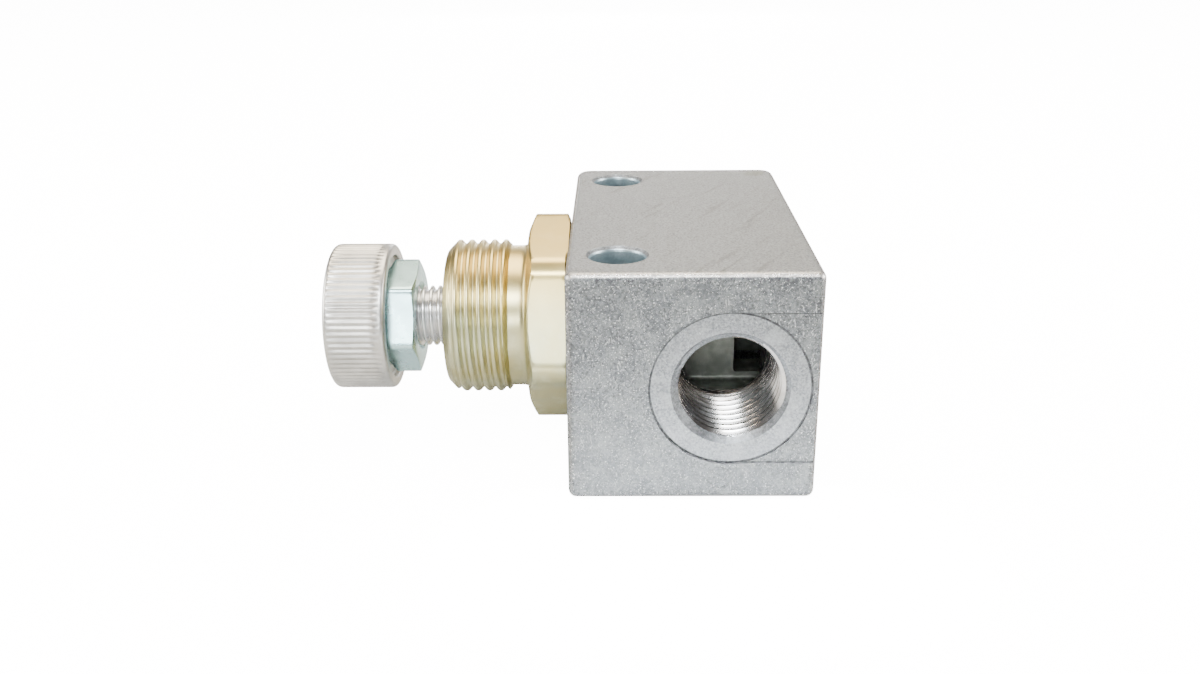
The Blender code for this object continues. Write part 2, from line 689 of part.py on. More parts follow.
def check_spring():
    """A coil whose pitch closes up towards both ends."""
    gap = SEAL_GAP + SPRING_WIRE
    low, high = SPRING_SEAT_INNER + gap, PLATE_BACK - gap
    count = int(SPRING_TURNS * SPRING_POINTS_PER_TURN) + 1
    curve = bpy.data.curves.new("check_spring", "CURVE")
    curve.dimensions = "3D"
    curve.bevel_depth = SPRING_WIRE * MM
    curve.bevel_resolution = 1
    curve.use_fill_caps = True
    line = curve.splines.new("POLY")
    line.points.add(count - 1)
    for i, point in enumerate(line.points):
        share = i / (count - 1)
        turn = 2 * math.pi * SPRING_TURNS * share
        eased = share - SPRING_CLOSING * math.sin(2 * math.pi * share) / (2 * math.pi)
        place_x = low + (high - low) * eased
        spot = Vector((place_x, SPRING_RADIUS * math.cos(turn), SPRING_RADIUS * math.sin(turn))) * MM
        point.co = (*spot, 1.0)
    made = bpy.data.objects.new("check_spring", curve)
    bpy.context.scene.collection.objects.link(made)
    return made


def build():
    for old in list(bpy.data.objects):
        bpy.data.objects.remove(old, do_unlink=True)

    cast = material("cast_alloy", (0.52, 0.52, 0.51), 0.5, 0.8)
    yellow_zinc = material("yellow_zinc", (0.74, 0.68, 0.50), 0.33, 1.0)
    blue_zinc = material("blue_zinc", (0.72, 0.78, 0.80), 0.3, 1.0)
    satin_metal = material("satin_metal", (0.70, 0.68, 0.66), 0.38, 1.0)
    steel = material("steel", (0.60, 0.60, 0.60), 0.25, 1.0)
    dark_steel = material("dark_steel", (0.08, 0.08, 0.09), 0.4, 0.8)
    brass = material("brass", (0.74, 0.56, 0.24), 0.3, 1.0)
    rubber = material("rubber", (0.02, 0.02, 0.02), 0.6, 0.0)
    ptfe = material("ptfe", (0.85, 0.85, 0.82), 0.5, 0.0)

    stem = axis_empty("stem_axis")
    travel = axis_empty("spindle_travel", stem)
    turn = axis_empty("knob_turn", travel)
    nut_run = axis_empty("lock_nut_run", turn)
    lift = axis_empty("check_lift", stem)

    body().data.materials.append(cast)
    hang(stem, yellow_zinc, *bonnet())
    sleeve, sleeve_tools = throttle_sleeve()
    hang(stem, brass, sleeve, *sleeve_tools, spring_seat())
    hang(stem, rubber, bonnet_ring())
    hang(stem, ptfe, sleeve_gasket())
    hang(stem, steel, check_spring())

    hang(travel, steel, throttle_needle())

    hang(turn, steel, *spindle(), needle_pin(), thrust_ball())
    hang(turn, satin_metal, *knob())
    hang(turn, dark_steel, *grub_screw())
    hang(turn, rubber, spindle_ring())
    hang(turn, ptfe, backup_ring())

    hang(nut_run, blue_zinc, *lock_nut())

    hang(lift, brass, check_ring())
    hang(lift, rubber, check_seal())


build()
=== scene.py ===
"""Looks of the flow control valve: its detailed pieces, their materials, and the studio round it."""

import math

import bmesh
import bpy
from mathutils import Matrix, Vector


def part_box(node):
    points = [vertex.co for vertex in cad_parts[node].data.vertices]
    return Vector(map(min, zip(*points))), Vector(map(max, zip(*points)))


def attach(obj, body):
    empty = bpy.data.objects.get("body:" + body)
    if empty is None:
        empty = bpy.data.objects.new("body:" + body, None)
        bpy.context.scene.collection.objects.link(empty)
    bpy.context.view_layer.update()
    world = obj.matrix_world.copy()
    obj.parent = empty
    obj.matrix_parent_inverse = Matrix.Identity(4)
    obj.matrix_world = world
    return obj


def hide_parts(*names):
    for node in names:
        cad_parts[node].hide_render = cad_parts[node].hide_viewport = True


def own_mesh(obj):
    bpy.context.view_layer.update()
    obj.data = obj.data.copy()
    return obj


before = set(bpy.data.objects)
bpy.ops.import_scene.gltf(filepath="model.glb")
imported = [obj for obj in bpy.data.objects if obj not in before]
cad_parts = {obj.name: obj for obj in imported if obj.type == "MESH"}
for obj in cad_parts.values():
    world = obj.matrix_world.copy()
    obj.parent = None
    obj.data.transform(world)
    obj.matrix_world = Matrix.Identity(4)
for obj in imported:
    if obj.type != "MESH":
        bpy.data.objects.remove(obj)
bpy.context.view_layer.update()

MM = 0.001


def box_mm(node):
    """A node's lowest and highest corners, in millimetres."""
    low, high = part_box(node)
    return Vector(low) / MM, Vector(high) / MM


BODY_LOW, BODY_HIGH = box_mm("body")
BONNET_LOW, BONNET_HIGH = box_mm("bonnet")
SPINDLE_LOW, SPINDLE_HIGH = box_mm("spindle")
KNOB_LOW, KNOB_HIGH = box_mm("knob")
NUT_LOW, NUT_HIGH = box_mm("lock_nut")
STEM_HEIGHT = (BODY_LOW.z + BODY_HIGH.z) / 2
KNOB_FACE = BODY_LOW.x

# Sizes that the boxes don't give, in millimetres, as the frame's solids have them.
# A thread is its crest radius, root radius and pitch.
HEX_CORNER_ANGLE = 46.0
HEX_FLATS = 24.0
HEX_BAR_RADIUS = 13.3       # the round bar that the hexagon is cut from
HEX_FACE_RADIUS = 11.5      # where the outer face's chamfer starts
HEX_CHAMFER = 0.8
HEX_LENGTH = 5.2
HEX_INNER = KNOB_FACE - 0.3
HEX_OUTER = HEX_INNER - HEX_LENGTH
PANEL_THREAD = (9.98, 9.48, 1.5)
PANEL_LEAD_RADIUS = 8.7     # the chamfer at the thread's outer end
THREAD_INNER = HEX_OUTER - 2.4
RELIEF_RADIUS = 9.2
SHANK_RADIUS = 8.2
BONNET_SEAL_GROOVE = (HEX_INNER + 0.7, HEX_INNER + 2.7, 6.8)     # its two sides and its floor's radius
BONNET_BORE = 5.0
BONNET_SCREWED = 8.2        # length of the narrow bore that the spindle screws through
SPINDLE_HOLE = 4.12
SPINDLE_THREAD = (3.97, 3.4, 1.0)
SPINDLE_SEAL_GROOVE = (1.9, 4.85, 3.3)     # its two sides from the shoulder, and its floor's radius
SPINDLE_END_BORE = (1.8, 6.4)              # radius and depth
SHOULDER = -16.9
SHOULDER_RADIUS = 4.7
NUT_FLATS = 13.0
PORT_X = 4.2
PORT_THREAD = (5.86, 6.5, 1.337)
PORT_DEPTH = 13.0
SPOT_RADIUS = 9.25
SPOT_DEPTH = 0.3
SPOT_GROOVE = 0.26          # width of the crevice at the spot face's edge
PORT_MOUTH = PORT_THREAD[1] + 0.15
PORT_EDGE = SPOT_DEPTH + 0.1          # how deep the port's chamfer starts
PORT_CHAMFER_SLOPE = 1.2
PAD_HALF_HEIGHT = SPOT_RADIUS - 0.1
PAD_DEPTH = 0.2
PAD_GROOVE = 0.16           # width of the crevice at the pad's edges
PAD_GROOVE_DEPTH = PAD_DEPTH + 0.06
POCKET_X = (-0.4, 9.6)
POCKET_FROM_MIDDLE = (8.6, 12.5)
POCKET_HALF_HEIGHT = 5.6
PASSAGE_X = {"front": (6.1, 9.9), "rear": (-1.4, 1.8)}
PASSAGE_FROM_MIDDLE = (3.5, 12.3)
PASSAGE_HALF_HEIGHT = 4.6
SHANK_HOLE = SHANK_RADIUS + 0.3
CHAMBER_OUTER = -5.0
CHAMBER_RADIUS = 7.5
SLEEVE_OUTER = 4.9
SLEEVE_INNER = 11.0
SLEEVE_RADIUS = 6.3
HOLE_X = -8.45
HOLE_Y = 18.0
HOLE_RADIUS = 3.2
HOLE_CHAMFER = 0.4
FRONT_EDGE_RADIUS = 0.95
REAR_EDGE_RADIUS = 2.0
RIM_RADIUS = 0.9
KNURL_TEETH = 75
KNURL_DEPTH = 0.18
OIL_STAIN = (BODY_HIGH.x - 3.0, BODY_HIGH.y - 3.2, BODY_HIGH.z)

# The studio, in metres and degrees
FLOOR_WHITE = 14.0          # brightness of the floor and the room as the camera sees them
ROOM_LIGHT = 0.12           # brightness of the room as the object sees it
STUDIO_CENTRE = (-0.012, 0, 0.014)
LENS_LENGTH = 34.98
LENS_PLACE = (-0.00843, -0.14478, 0.06636)
LENS_TILT, LENS_YAW, LENS_ROLL = 21.07, 0.94, -0.556


# ---------------------------------------------------------------- shapes


def linked(name, data):
    """A new object in the scene."""
    made = bpy.data.objects.new(name, data)
    bpy.context.scene.collection.objects.link(made)
    return made


def mesh_object(name, vertices, faces, matrix=None):
    """A piece from millimetre vertices, welded, facing outwards, with crisp edges kept."""
    mesh = bpy.data.meshes.new(name)
    mesh.from_pydata([Vector(v) * MM for v in vertices], [], faces)
    shape = bmesh.new()
    shape.from_mesh(mesh)
    bmesh.ops.remove_doubles(shape, verts=shape.verts, dist=2e-4 * MM)
    bmesh.ops.recalc_face_normals(shape, faces=shape.faces)
    shape.to_mesh(mesh)
    shape.free()
    if matrix:
        mesh.transform(matrix)
    crisp(mesh)
    return linked(name, mesh)


def crisp(mesh, angle=38):
    """Smooth shading, apart from edges sharper than an angle in degrees."""
    mesh.shade_smooth()
    mesh.set_sharp_from_angle(angle=math.radians(angle))


def at_stem():
    """Moves a turned shape from the X axis to the stem's axis."""
    return Matrix.Translation((0, 0, STEM_HEIGHT * MM))


def pointing(x, y, z, towards):
    """Moves a turned shape so that it starts at a point and runs along a direction."""
    turn = Vector((1, 0, 0)).rotation_difference(Vector(towards)).to_matrix().to_4x4()
    return Matrix.Translation(Vector((x, y, z)) * MM) @ turn


def softened(points, steps=4):
    """An open outline of (x, radius) or (x, radius, rounding) points, with its corners rounded."""
    made = []
    for i, point in enumerate(points):
        here = Vector(point[:2])
        rounding = point[2] if len(point) > 2 else 0
        if not rounding or i in (0, len(points) - 1):
            made.append(tuple(here))
            continue
        before, after = Vector(points[i - 1][:2]), Vector(points[i + 1][:2])
        a = here + (before - here).normalized() * min(rounding, (before - here).length * 0.49)
        b = here + (after - here).normalized() * min(rounding, (after - here).length * 0.49)
        for k in range(steps + 1):
            s = k / steps
            spot = a * (1 - s) ** 2 + here * 2 * s * (1 - s) + b * s**2
            made.append(tuple(spot))
    return made


def straight(start, end, steps):
    """Even steps along a line, without its start, so that a trimmed shape shows its edges."""
    (x, radius), (to_x, to_radius) = start, end
    return [
        (x + (to_x - x) * k / steps, radius + (to_radius - radius) * k / steps) for k in range(1, steps + 1)
    ]


def smooth(value):
    """Eases a value from 0 to 1, and holds it there outside that range."""
    value = min(max(value, 0.0), 1.0)
    return value * value * (3 - 2 * value)


def thread_radius(phase, crest, root):
    """A rolled thread's form: a rounded crest and a rounded root, with straight flanks between."""
    height = (abs(2 * phase - 1) - 0.12) / 0.72
    height = min(max(height, 0.0), 1.0)
    return root + (crest - root) * (0.35 * height + 0.65 * smooth(height))


def thread_rows(start, end, form, limit, per_pitch=10):
    """Rows that follow a right-hand helix, squeezed into plain rings at both ends.

    limit(x, radius) trims the thread, as a chamfer or a run-out does, and makes each end round.
    """
    crest, root, pitch = form
    count = int((end - start) / pitch * per_pitch) + per_pitch + 2

    def row(j):
        def place(share):
            x = min(max(start + pitch * (j / per_pitch - share), start), end)
            phase = ((x - start) / pitch + share) % 1.0
            return x, limit(x, thread_radius(phase, crest, root))

        return place

    return [row(j) for j in range(count)]


def lathe(name, rows, columns, matrix=None, shape=None, start_angle=0.0):
    """Turns rows about the X axis, from -Y towards +Z.

    A row is an (x, radius) point, or a function that gives one from the turn's share.
    """
    vertices, faces = [], []
    for i in range(columns + 1):
        share = i / columns
        turn = math.radians(start_angle) + 2 * math.pi * share
        for row in rows:
            x, radius = row(share) if callable(row) else row
            if shape:
                radius = shape(x, radius, turn)
            vertices.append((x, -radius * math.cos(turn), radius * math.sin(turn)))
    size = len(rows)
    for i in range(columns):
        for j in range(size - 1):
            a = i * size + j
            faces.append((a, a + 1, a + size + 1, a + size))
    return mesh_object(name, vertices, faces, matrix)


def hexagon(flats, low, high):
    """A shape that trims round stock to a hexagon, between two places.

    Sharpness keeps the hexagon's own corners, and blend keeps the edges where it meets the round stock.
    """
    sharpness, blend = 70, 14

    def shape(x, radius, turn):
        if not low <= x <= high:
            return radius
        total = 0.0
        for k in range(6):
            normal = math.radians(HEX_CORNER_ANGLE + 30 + 60 * k)
            total += max(math.cos(turn - normal), 0.0) ** sharpness
        flat = flats / 2 / total ** (1 / sharpness)
        if radius < flat - 1:
            return radius
        return -math.log(math.exp(-radius * blend) + math.exp(-flat * blend)) / blend

    return shape


def cuboid(low, high):
    """A box as a bmesh, between two corners in millimetres."""
    shape = bmesh.new()
    bmesh.ops.create_cube(shape, size=1.0)
    for vert in shape.verts:
        vert.co = Vector(a + (b - a) * (c + 0.5) for a, b, c in zip(low, high, vert.co)) * MM
    return shape


def round_edges(shape, edges, radius, segments):
    bmesh.ops.bevel(shape, geom=edges, offset=radius * MM, segments=segments, profile=0.5, affect="EDGES")


def finished(name, shape):
    """Turns a bmesh into an object."""
    mesh = bpy.data.meshes.new(name)
    shape.to_mesh(mesh)
    shape.free()
    return linked(name, mesh)


def block(name, x, y, z, rounding=0.0):
    """A box with rounded edges, used as a cutter. Its x, y and z are pairs of limits."""
    low, high = zip(*(sorted(limits) for limits in (x, y, z)))
    shape = cuboid(low, high)
    if rounding:
        round_edges(shape, shape.edges[:], rounding, 4)
    return finished(name, shape)


def cut(target, tools):
    """Cuts each tool from the target, applies the result, and removes the tools."""
    for tool in tools:
        modifier = target.modifiers.new(tool.name, "BOOLEAN")
        modifier.operation = "DIFFERENCE"
        modifier.solver = "EXACT"
        modifier.object = tool
    graph = bpy.context.evaluated_depsgraph_get()
    result = bpy.data.meshes.new_from_object(target.evaluated_get(graph))
    target.modifiers.clear()
    target.data = result
    for tool in tools:
        bpy.data.objects.remove(tool, do_unlink=True)


# ---------------------------------------------------------------- materials


class Nodes:
    """A material's node tree, with short ways to add what the materials here share."""

    def __init__(self, name, metallic, roughness):
        self.material = bpy.data.materials.new(name)
        self.material.use_nodes = True
        self.tree = self.material.node_tree
        self.shader = self.tree.nodes["Principled BSDF"]
        self.shader.inputs["Metallic"].default_value = metallic
        self.shader.inputs["Roughness"].default_value = roughness
        self.coords = self.add("ShaderNodeTexCoord")
        self.place = self.coords.outputs["Object"]

    def add(self, kind, **settings):
        made = self.tree.nodes.new(kind)
        for key, value in settings.items():
            setattr(made, key, value)
        return made

    def feed(self, socket, value):
        """Links another node's output to a socket, or sets the socket to a plain value."""
        if isinstance(value, bpy.types.NodeSocket):
            self.tree.links.new(value, socket)
        else:
            socket.default_value = value

    def scaled(self, x, y, z, turn=(0, 0, 0)):
        """The object's coordinates, turned by angles in degrees and then stretched."""
        turned = self.add("ShaderNodeMapping", vector_type="TEXTURE")
        turned.inputs["Rotation"].default_value = [math.radians(angle) for angle in turn]
        self.feed(turned.inputs["Vector"], self.place)
        made = self.add("ShaderNodeMapping")
        made.inputs["Scale"].default_value = (x, y, z)
        self.feed(made.inputs["Vector"], turned.outputs[0])
        return made.outputs[0]

    def noise(self, scale, detail, rough, place=None):
        made = self.add("ShaderNodeTexNoise")
        self.feed(made.inputs["Vector"], place or self.place)
        made.inputs["Scale"].default_value = scale
        made.inputs["Detail"].default_value = detail
        made.inputs["Roughness"].default_value = rough
        return made.outputs["Fac"]

    def ramp(self, value, low, high):
        """0 below low and 1 above high, smoothly."""
        made = self.add("ShaderNodeMapRange", interpolation_type="SMOOTHSTEP")
        self.feed(made.inputs["Value"], value)
        made.inputs["From Min"].default_value = low
        made.inputs["From Max"].default_value = high
        return made.outputs["Result"]

    def share(self, value, low, high, most):
        """A ramp whose top is below 1."""
        return self.maths("MULTIPLY", self.ramp(value, low, high), most)

    def between(self, value, low, high):
        """Stretches a 0 to 1 value to a range."""
        made = self.add("ShaderNodeMapRange")
        self.feed(made.inputs["Value"], value)
        made.inputs["To Min"].default_value = low
        made.inputs["To Max"].default_value = high
        return made.outputs["Result"]

    def maths(self, operation, a, b=0.0):
        made = self.add("ShaderNodeMath", operation=operation)
        self.feed(made.inputs[0], a)
        self.feed(made.inputs[1], b)
        return made.outputs[0]

    def mix(self, share, a, b):
        """Colour a, with a share of colour b."""
        made = self.add("ShaderNodeMix", data_type="RGBA")
        for socket, value in ((0, share), (6, a), (7, b)):
            if isinstance(value, tuple):
                value = (*value, 1.0)
            self.feed(made.inputs[socket], value)
        return made.outputs[2]

    def axis(self, vector, name):
        made = self.add("ShaderNodeSeparateXYZ")
        self.feed(made.inputs[0], vector)
        return made.outputs[name]

    def distance(self, point):
        """The distance to a point given in millimetres."""
        made = self.add("ShaderNodeVectorMath", operation="DISTANCE")
        self.feed(made.inputs[0], self.place)
        made.inputs[1].default_value = Vector(point) * MM
        return made.outputs["Value"]

    def facing(self, name):
        """How much the surface faces along one of the object's axes."""
        return self.axis(self.coords.outputs["Normal"], name)

    def squareness(self):
        """1 where the surface faces along an axis, as a block's flats do, and less on its rounded edges."""
        most = 0.0
        for name in "XYZ":
            most = self.maths("MAXIMUM", self.maths("ABSOLUTE", self.facing(name)), most)
        return most

    def bump(self, height, strength, distance):
        """A bump whose distance is in millimetres."""
        made = self.add("ShaderNodeBump")
        made.inputs["Strength"].default_value = strength
        made.inputs["Distance"].default_value = distance * MM
        self.feed(made.inputs["Height"], height)
        return made.outputs[0]

    def finish(self, colour, roughness=None, normal=None):
        """Feeds the shader and gives back the material."""
        self.feed(self.shader.inputs["Base Color"], colour)
        if roughness:
            self.feed(self.shader.inputs["Roughness"], roughness)
        if normal:
            self.feed(self.shader.inputs["Normal"], normal)
        return self.material


def cast_alloy():
    """As-cast and tumbled: grey mottling, bright specks, dark pits and scratches.

    The top is smoother, with faint streaks and an oil stain. Edges that face upwards are rubbed smoother by
    wear, and lightened as a painted highlight.
    """
    n = Nodes("cast_alloy", 0.92, 0.5)
    top = n.ramp(n.facing("Z"), 0.6, 0.95)
    blotches = n.noise(360, 5, 0.62)
    mottle = n.noise(2000, 4, 0.7)
    grain = n.noise(3900, 4, 0.68)
    specks = n.noise(5200, 2, 0.5)
    grey = n.mix(n.ramp(grain, 0.36, 0.64), (0.066, 0.070, 0.075), (0.205, 0.216, 0.221))
    grey = n.mix(n.share(mottle, 0.48, 0.66, 0.35), grey, (0.25, 0.263, 0.268))
    grey = n.mix(n.share(mottle, 0.48, 0.36, 0.35), grey, (0.06, 0.065, 0.069))
    grey = n.mix(n.share(blotches, 0.48, 0.62, 0.55), grey, (0.225, 0.238, 0.238))
    grey = n.mix(n.share(blotches, 0.50, 0.36, 0.45), grey, (0.072, 0.078, 0.083))
    grey = n.mix(n.share(specks, 0.63, 0.69, 1.0), grey, (0.88, 0.89, 0.89))
    grey = n.mix(n.share(specks, 0.37, 0.30, 0.9), grey, (0.015, 0.016, 0.018))
    for turn in ((15, 35, 25), (-40, -55, 10), (60, 80, -30)):
        scratches = n.noise(1.0, 2, 0.5, n.scaled(600, 6500, 6500, turn))
        grey = n.mix(n.share(scratches, 0.66, 0.72, 0.6), grey, (0.60, 0.61, 0.61))

    lid = n.mix(n.ramp(grain, 0.34, 0.66), (0.172, 0.178, 0.184), (0.330, 0.339, 0.345))
    streaks = n.noise(1.0, 3, 0.6, n.scaled(60, 700, 60, (0, 0, 62)))
    lid = n.mix(n.share(streaks, 0.58, 0.70, 0.55), lid, (0.14, 0.137, 0.13))
    oily = n.maths("ADD", n.distance(OIL_STAIN), n.between(blotches, 1.0 * MM, -1.0 * MM))
    lid = n.mix(n.share(oily, 2.1 * MM, 0.9 * MM, 0.45), lid, (0.15, 0.15, 0.09))
    colour = n.mix(n.maths("MULTIPLY", top, 0.9), grey, lid)

    # Rounded edges that face upwards: smoother from wear, and lighter in colour as a painted highlight.
    rounded = n.ramp(n.squareness(), 0.95, 0.80)
    patchy = n.between(n.ramp(mottle, 0.35, 0.6), 0.45, 1.0)
    upwards = n.between(n.ramp(n.facing("Z"), 0.1, 0.4), 0.15, 1.0)
    wear_and_painted_highlight = n.maths("MULTIPLY", n.maths("MULTIPLY", rounded, patchy), upwards)
    colour = n.mix(n.maths("MULTIPLY", wear_and_painted_highlight, 0.8), colour, (0.66, 0.625, 0.585))
    rough = n.maths("SUBTRACT", n.between(grain, 0.60, 0.42), n.maths("MULTIPLY", wear_and_painted_highlight, 0.25))
    height = n.maths("ADD", grain, n.maths("MULTIPLY", specks, 0.5))
    return n.finish(colour, rough, n.bump(height, 0.8, 0.045))


def machined_face(name, shade=1.0):
    """Milled in the casting: smoother than its skin, with faint blotches and handling marks.

    It is lighter than the skin at a shade of 1; a shade below 1 darkens it in proportion, as painted shade.
    """
    n = Nodes(name, 0.92, 0.42)

    def tint(*colour):
        return tuple(shade * channel for channel in colour)

    grain = n.noise(3600, 4, 0.7)
    mottle = n.noise(1300, 4, 0.65)
    blotches = n.noise(330, 3, 0.6)
    colour = n.mix(n.ramp(grain, 0.36, 0.66), tint(0.17, 0.18, 0.193), tint(0.38, 0.40, 0.42))
    colour = n.mix(n.share(blotches, 0.45, 0.68, 0.5), colour, tint(0.42, 0.44, 0.457))
    colour = n.mix(n.share(mottle, 0.48, 0.34, 0.6), colour, tint(0.14, 0.148, 0.158))
    scratches = n.noise(1.0, 2, 0.5, n.scaled(700, 6500, 6500, (20, 40, -35)))
    colour = n.mix(n.share(scratches, 0.65, 0.72, 0.6), colour, tint(0.72, 0.73, 0.74))
    return n.finish(colour, n.between(grain, 0.50, 0.36), n.bump(grain, 0.5, 0.04))


def crevice_shade():
    """Painted shade: a dark line in the corners of the machined steps, whose walls lie in shadow."""
    n = Nodes("crevice_shade", 0.3, 0.8)
    grit = n.noise(2500, 3, 0.6)
    colour = n.mix(n.ramp(grit, 0.35, 0.65), (0.035, 0.037, 0.04), (0.11, 0.115, 0.12))
    return n.finish(colour, n.between(grit, 0.9, 0.7), n.bump(grit, 0.4, 0.03))


def bright_bore():
    """Cut thread in the casting: bright, with fine tool lines and faint stains."""
    n = Nodes("bright_bore", 1.0, 0.2)
    lines = n.noise(1.0, 2, 0.6, n.scaled(300, 9000, 300))
    stains = n.noise(350, 4, 0.6)
    colour = n.mix(n.ramp(stains, 0.35, 0.75), (0.40, 0.375, 0.35), (0.66, 0.665, 0.67))
    return n.finish(colour, n.between(lines, 0.14, 0.26), n.bump(lines, 0.25, 0.02))


def cored_wall():
    """As-cast inner walls, smooth and a little green-grey."""
    n = Nodes("cored_wall", 0.7, 0.45)
    cloud = n.noise(420, 4, 0.6)
    colour = n.mix(n.ramp(cloud, 0.3, 0.7), (0.16, 0.172, 0.154), (0.26, 0.278, 0.25))
    return n.finish(colour, n.between(cloud, 0.5, 0.36), n.bump(cloud, 0.3, 0.05))


def hole_wall():
    """The cored mounting holes: smooth and blue-grey."""
    n = Nodes("hole_wall", 0.85, 0.38)
    cloud = n.noise(500, 4, 0.6)
    colour = n.mix(n.ramp(cloud, 0.3, 0.7), (0.27, 0.35, 0.39), (0.42, 0.52, 0.56))
    return n.finish(colour, n.between(cloud, 0.45, 0.3), n.bump(cloud, 0.25, 0.04))


def turned_zinc(name, dark, light, glow, roughness=(0.22, 0.36), painted_warm_light=None):
    """Plated turned steel: passivation that drifts between two tints, over fine lathe lines.

    A warm gold tint, if there is one, deepens towards the top of the stem, as painted warm light from
    above.
    """
    n = Nodes(name, 1.0, roughness[0])
    drift = n.noise(160, 3, 0.5)
    cloud = n.noise(500, 2, 0.5)
    lathe_lines = n.noise(1.0, 1, 0.5, n.scaled(2500, 60, 60))
    colour = n.mix(n.ramp(drift, 0.3, 0.7), dark, light)
    colour = n.mix(n.share(cloud, 0.5, 0.8, 0.35), colour, glow)
    if painted_warm_light:
        # Painted warm light: the upper part of the stem takes the gold tint.
        height = n.maths("ADD", n.axis(n.place, "Z"), n.between(drift, -1.0 * MM, 1.0 * MM))
        upper = n.share(height, (STEM_HEIGHT + 1.5) * MM, (STEM_HEIGHT + 9.0) * MM, 0.75)
        colour = n.mix(upper, colour, painted_warm_light)
    rough = n.between(cloud, *roughness)
    return n.finish(colour, rough, n.bump(lathe_lines, 0.1, 0.008))


def knob_metal():
    """Satin plating, with a few patches of old grease."""
    n = Nodes("satin_metal", 1.0, 0.3)
    cloud = n.noise(380, 4, 0.6)
    fine = n.noise(3000, 3, 0.6)
    colour = n.mix(n.ramp(cloud, 0.3, 0.7), (0.48, 0.473, 0.448), (0.60, 0.59, 0.562))
    grease = n.share(n.noise(150, 3, 0.6), 0.55, 0.75, 0.5)
    colour = n.mix(grease, colour, (0.60, 0.56, 0.44))
    return n.finish(colour, n.between(cloud, 0.32, 0.42), n.bump(fine, 0.12, 0.012))


def plain(name, colour, other, metallic, roughness, scale, bump):
    """A simple two-tone surface with a fine grain, for the inner pieces."""
    n = Nodes(name, metallic, roughness[0])
    cloud = n.noise(scale, 4, 0.6)
    fine = n.noise(scale * 6, 3, 0.6)
    mixed = n.mix(n.ramp(cloud, 0.3, 0.7), colour, other)
    return n.finish(mixed, n.between(fine, *roughness), n.bump(fine, 0.3, bump))


# ---------------------------------------------------------------- pieces


def body_block():
    """The casting's outside, with its own radius on each group of edges."""
    shape = cuboid(BODY_LOW, BODY_HIGH)
    for side, radius in ((-1, FRONT_EDGE_RADIUS), (1, REAR_EDGE_RADIUS)):
        upright = [
            edge
            for edge in shape.edges
            if abs(edge.verts[0].co.z - edge.verts[1].co.z) > BODY_HIGH.z / 2 * MM
            and edge.verts[0].co.y * side > 0.9 * BODY_HIGH.y * MM
        ]
        round_edges(shape, upright, radius, 8)
    level = [edge for edge in shape.edges if abs(edge.verts[0].co.z - edge.verts[1].co.z) < 0.01 * MM]
    round_edges(shape, level, RIM_RADIUS, 6)
    return finished("valve_body", shape)


def port_chamfer(depth):
    """The radius of the chamfer at the port's mouth, at a depth below the body's face."""
    return PORT_MOUTH - PORT_CHAMFER_SLOPE * (depth - PORT_EDGE)


def port_cutter(name, side):
    """The port's bore, from outside its face inwards, with its G 1/4 thread."""
    thread_end = PORT_DEPTH - 0.5
    floor_radius = PORT_THREAD[0] - 0.1

    def limit(x, radius):
        radius = max(radius, port_chamfer(x))
        run_out = smooth((thread_end - x) / 0.8)
        return floor_radius + (radius - floor_radius) * run_out

    rows = softened(
        [
            (-1, 0),
            (-1, SPOT_RADIUS),
            (SPOT_DEPTH + 0.12, SPOT_RADIUS),
            (SPOT_DEPTH, SPOT_RADIUS - SPOT_GROOVE),
            (SPOT_DEPTH, PORT_MOUTH + 0.12),
            (PORT_EDGE, PORT_MOUTH),
        ]
    )
    rows += thread_rows(PORT_EDGE, thread_end, PORT_THREAD, limit)
    rows += [(PORT_DEPTH, floor_radius - 0.4), (PORT_DEPTH, 0)]
    matrix = pointing(PORT_X, side * BODY_HIGH.y, STEM_HEIGHT, (0, -side, 0))
    return lathe(name, rows, 144, matrix)


def hole_cutter(name, side):
    """A cored hole whose two halves meet in a small step, with a broken edge at both ends."""
    height = BODY_HIGH.z
    wide = HOLE_RADIUS + HOLE_CHAMFER
    seam_angle, seam_step, ridge_height, ridge_angle = 104, 0.09, 0.10, 2.2
    outline = softened(
        [
            (-1, 0),
            (-1, wide),
            (0, wide, 0.1),
            (HOLE_CHAMFER, HOLE_RADIUS, 0.3),
            (height - HOLE_CHAMFER, HOLE_RADIUS, 0.3),
            (height, wide, 0.1),
            (height + 1, wide),
            (height + 1, 0),
        ]
    )

    def shape(x, radius, turn):
        if radius < 1 or not 1 < x < height - 1:
            return radius
        angle = math.degrees(turn) % 360
        step = seam_step if seam_angle < angle < seam_angle + 180 else 0.0
        ridge = ridge_height * math.exp(-(((angle - seam_angle) / ridge_angle) ** 2))
        return radius - step - ridge

    matrix = pointing(HOLE_X, side * HOLE_Y, 0, (0, 0, 1))
    return lathe(name, outline, 120, matrix, shape)


def ejector_mark(name, side):
    """A shallow round mark that an ejector pin left under the port."""
    outline = [(-0.5, 1.15), (-0.5, 1.45), (0.05, 1.42), (0.07, 1.3), (0.05, 1.18), (-0.5, 1.15)]
    matrix = pointing(PORT_X - 1.0, side * BODY_HIGH.y, 2.9, (0, -side, 0))
    return lathe(name, outline, 48, matrix)


def stem_bore():
    """The stepped bore that takes the bonnet's shank, the check valve and the sleeve."""
    mouth = SHANK_HOLE + 0.6
    outline = softened(
        [
            (KNOB_FACE - 1, 0),
            (KNOB_FACE - 1, mouth),
            (KNOB_FACE, mouth),
            (KNOB_FACE + 0.6, SHANK_HOLE),
            (CHAMBER_OUTER, SHANK_HOLE),
            (CHAMBER_OUTER, CHAMBER_RADIUS),
            (SLEEVE_OUTER, CHAMBER_RADIUS),
            (SLEEVE_OUTER, SLEEVE_RADIUS),
            (SLEEVE_INNER, SLEEVE_RADIUS),
            (SLEEVE_INNER, 0),
        ]
    )
    return lathe("stem_bore", outline, 96, at_stem())


def level_with_stem(half_height):
    return STEM_HEIGHT - half_height, STEM_HEIGHT + half_height


